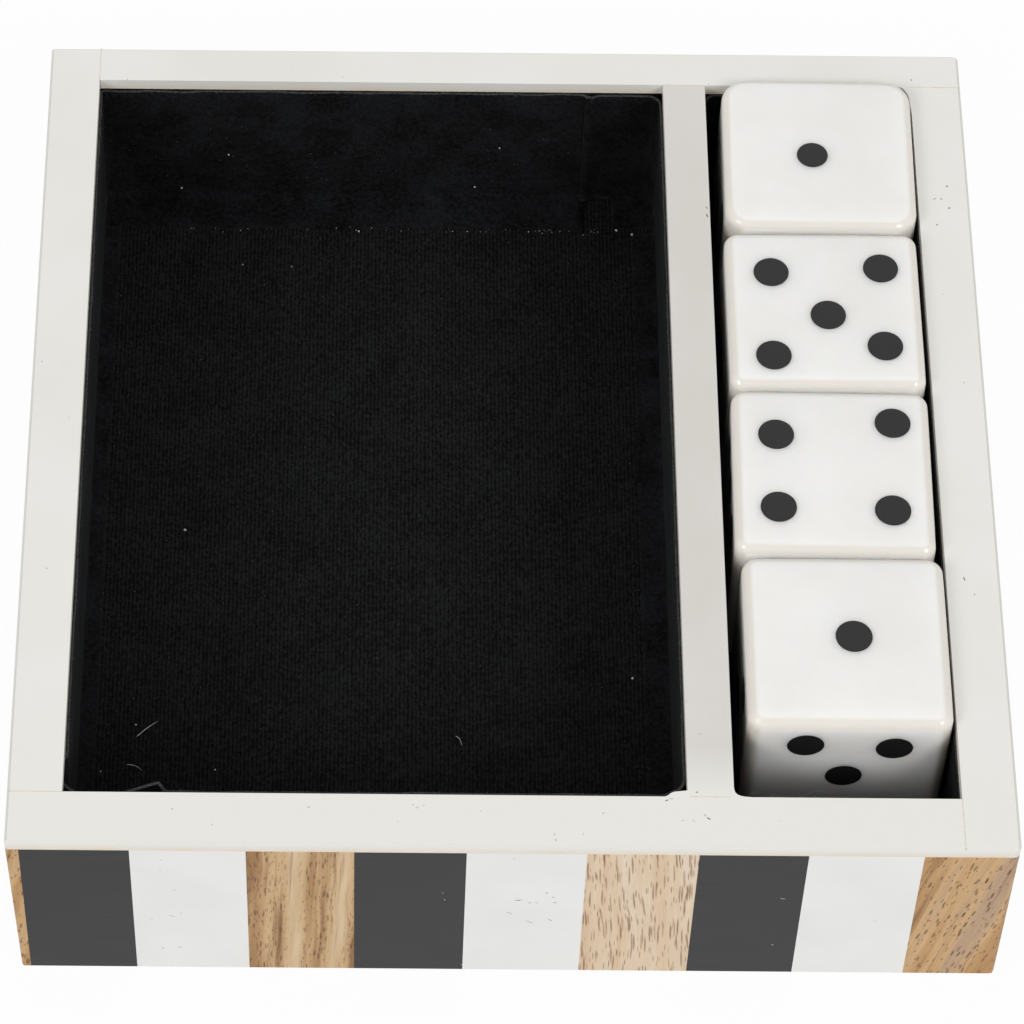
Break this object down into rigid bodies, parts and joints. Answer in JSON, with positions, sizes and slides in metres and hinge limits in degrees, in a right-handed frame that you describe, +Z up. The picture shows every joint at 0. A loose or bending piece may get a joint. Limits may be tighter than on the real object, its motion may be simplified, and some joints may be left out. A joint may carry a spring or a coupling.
{
  "type": "dice tray",
  "caption": "Square open dice tray with a velvet lined well, a side slot holding a row of large dice, tiled sides and white rails round the rim.",
  "frame": {"origin": "centre of the underside, on the table", "axes": "+Z up, +X towards the side with the dice slot, -Y towards the front, the side nearest the viewer in the picture"},
  "size_m": [0.1524, 0.155, 0.0406],
  "materials": {
    "white_resin": "smooth sanded white resin, like polished bone",
    "dark_resin": "dark grey resin, like buffed horn, faintly mottled",
    "tile_wood": "warm brown hardwood, fine upright grain, satin",
    "core_wood": "plain sawn wood",
    "velvet": "black velvet with fine ribs",
    "felt": "thin black felt",
    "dice_resin": "smooth warm white resin, softly polished",
    "pip_resin": "black inlay, flush"
  },
  "bodies": {
    "tray": {"base_felt": "felt", "base_board": "core_wood", "wall_front": "core_wood", "wall_back": "core_wood", "wall_left": "core_wood", "wall_right": "core_wood", "divider_core": "core_wood", "tile_front_1": "dark_resin", "tile_front_2": "white_resin", "tile_front_3": "tile_wood", "tile_front_4": "dark_resin", "tile_front_5": "white_resin", "tile_front_6": "tile_wood", "tile_front_7": "dark_resin", "tile_front_8": "white_resin", "tile_front_9": "tile_wood", "tile_right_1": "dark_resin", "tile_right_2": "white_resin", "tile_right_3": "tile_wood", "tile_right_4": "dark_resin", "tile_right_5": "white_resin", "tile_right_6": "tile_wood", "tile_right_7": "dark_resin", "tile_right_8": "white_resin", "tile_right_9": "tile_wood", "tile_back_1": "dark_resin", "tile_back_2": "white_resin", "tile_back_3": "tile_wood", "tile_back_4": "dark_resin", "tile_back_5": "white_resin", "tile_back_6": "tile_wood", "tile_back_7": "dark_resin", "tile_back_8": "white_resin", "tile_back_9": "tile_wood", "tile_left_1": "dark_resin", "tile_left_2": "white_resin", "tile_left_3": "tile_wood", "tile_left_4": "dark_resin", "tile_left_5": "white_resin", "tile_left_6": "tile_wood", "tile_left_7": "dark_resin", "tile_left_8": "white_resin", "tile_left_9": "tile_wood", "rail_front": "white_resin", "rail_right": "white_resin", "rail_back": "white_resin", "rail_left": "white_resin", "divider_strip": "white_resin", "well_floor_velvet": "velvet", "slot_floor_velvet": "velvet", "well_wall_velvet": "velvet", "slot_wall_velvet": "velvet"},
    "die_1": {"die_1": "dice_resin", "die_1_pips": "pip_resin"},
    "die_2": {"die_2": "dice_resin", "die_2_pips": "pip_resin"},
    "die_3": {"die_3": "dice_resin", "die_3_pips": "pip_resin"},
    "die_4": {"die_4": "dice_resin", "die_4_pips": "pip_resin"}
  },
  "joints": [
    {"name": "die_1_lift", "type": "slide", "parent": "tray", "child": "die_1", "axis": [0, 0, 1], "range_m": [0, 0.035]},
    {"name": "die_2_lift", "type": "slide", "parent": "tray", "child": "die_2", "axis": [0, 0, 1], "range_m": [0, 0.035]},
    {"name": "die_3_lift", "type": "slide", "parent": "tray", "child": "die_3", "axis": [0, 0, 1], "range_m": [0, 0.035]},
    {"name": "die_4_lift", "type": "slide", "parent": "tray", "child": "die_4", "axis": [0, 0, 1], "range_m": [0, 0.035]}
  ]
}
